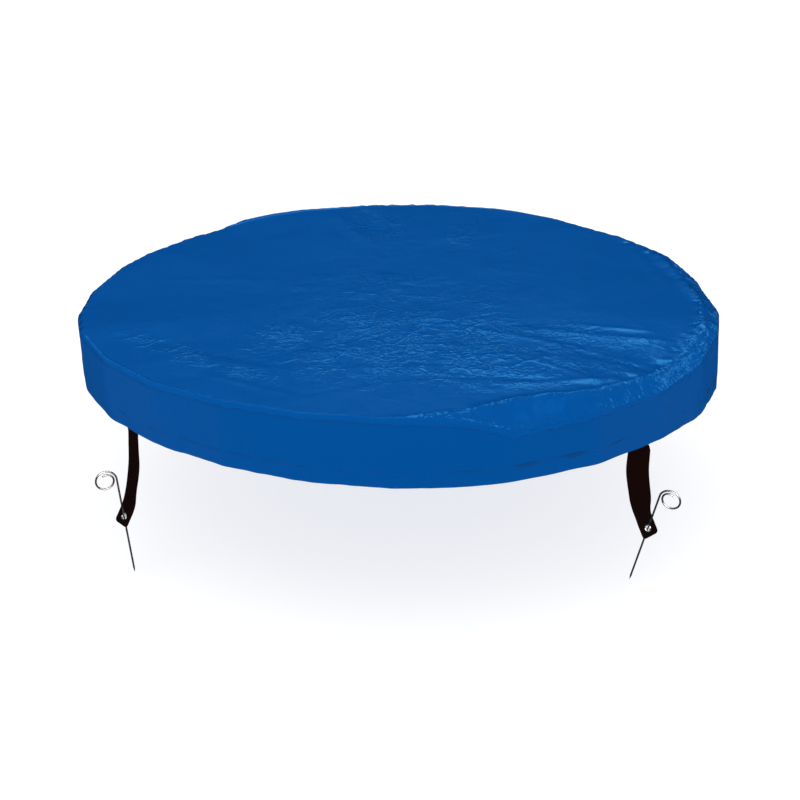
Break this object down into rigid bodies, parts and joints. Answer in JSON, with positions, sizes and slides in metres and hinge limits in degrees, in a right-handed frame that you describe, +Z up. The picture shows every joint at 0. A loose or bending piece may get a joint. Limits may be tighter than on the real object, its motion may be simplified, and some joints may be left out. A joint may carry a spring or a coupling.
{
  "type": "round pool cover",
  "caption": "Round blue sheet cover that sits over a pool's rim, with an elastic hem and webbing straps pegged to the ground.",
  "frame": {"origin": "middle of the plane in which the top sheet rests on the pool's rim", "axes": "+Z up, +X through strap 1; the straps are numbered counter-clockwise seen from above"},
  "size_m": [1.3643, 1.3486, 0.3785],
  "materials": {
    "blue_sheet": "gloss",
    "lining_sheet": "gloss",
    "elastic": "matte",
    "webbing": "matte",
    "eyelet_metal": "polished",
    "peg_wire": "satin"
  },
  "bodies": {
    "cover": {"top_panel": "blue_sheet", "skirt": "blue_sheet", "rim_binding": "lining_sheet", "hem_casing": "lining_sheet", "elastic_band": "elastic", "strap_end_1": "webbing", "strap_end_2": "webbing", "strap_end_3": "webbing", "strap_end_4": "webbing"},
    "hanging_strap_1": {"strap_1": "webbing", "eyelet_1": "eyelet_metal", "washer_1": "eyelet_metal"},
    "ground_peg_1": {"peg_1": "peg_wire"},
    "hanging_strap_2": {"strap_2": "webbing", "eyelet_2": "eyelet_metal", "washer_2": "eyelet_metal"},
    "ground_peg_2": {"peg_2": "peg_wire"},
    "hanging_strap_3": {"strap_3": "webbing", "eyelet_3": "eyelet_metal", "washer_3": "eyelet_metal"},
    "ground_peg_3": {"peg_3": "peg_wire"},
    "hanging_strap_4": {"strap_4": "webbing", "eyelet_4": "eyelet_metal", "washer_4": "eyelet_metal"},
    "ground_peg_4": {"peg_4": "peg_wire"}
  },
  "joints": [
    {"name": "strap_1_swing", "type": "hinge", "parent": "cover", "child": "hanging_strap_1", "pos_m": [0.59476, 0, -0.121], "axis": [0, -1, 0], "range_deg": [-15, 45]},
    {"name": "peg_1_pull", "type": "slide", "parent": "hanging_strap_1", "child": "ground_peg_1", "axis": [0.2672, 0, 0.9636], "range_m": [-0.04, 0.08]},
    {"name": "strap_2_swing", "type": "hinge", "parent": "cover", "child": "hanging_strap_2", "pos_m": [0, 0.59476, -0.121], "axis": [1, 0, 0], "range_deg": [-15, 45]},
    {"name": "peg_2_pull", "type": "slide", "parent": "hanging_strap_2", "child": "ground_peg_2", "axis": [0, 0.1736, 0.9848], "range_m": [-0.04, 0.08]},
    {"name": "strap_3_swing", "type": "hinge", "parent": "cover", "child": "hanging_strap_3", "pos_m": [-0.59476, 0, -0.121], "axis": [0, 1, 0], "range_deg": [-15, 45]},
    {"name": "peg_3_pull", "type": "slide", "parent": "hanging_strap_3", "child": "ground_peg_3", "axis": [-0.2079, 0, 0.9781], "range_m": [-0.04, 0.08]},
    {"name": "strap_4_swing", "type": "hinge", "parent": "cover", "child": "hanging_strap_4", "pos_m": [0, -0.59476, -0.121], "axis": [-1, 0, 0], "range_deg": [-15, 45]},
    {"name": "peg_4_pull", "type": "slide", "parent": "hanging_strap_4", "child": "ground_peg_4", "axis": [0, -0.0785, 0.9969], "range_m": [-0.04, 0.08]}
  ]
}
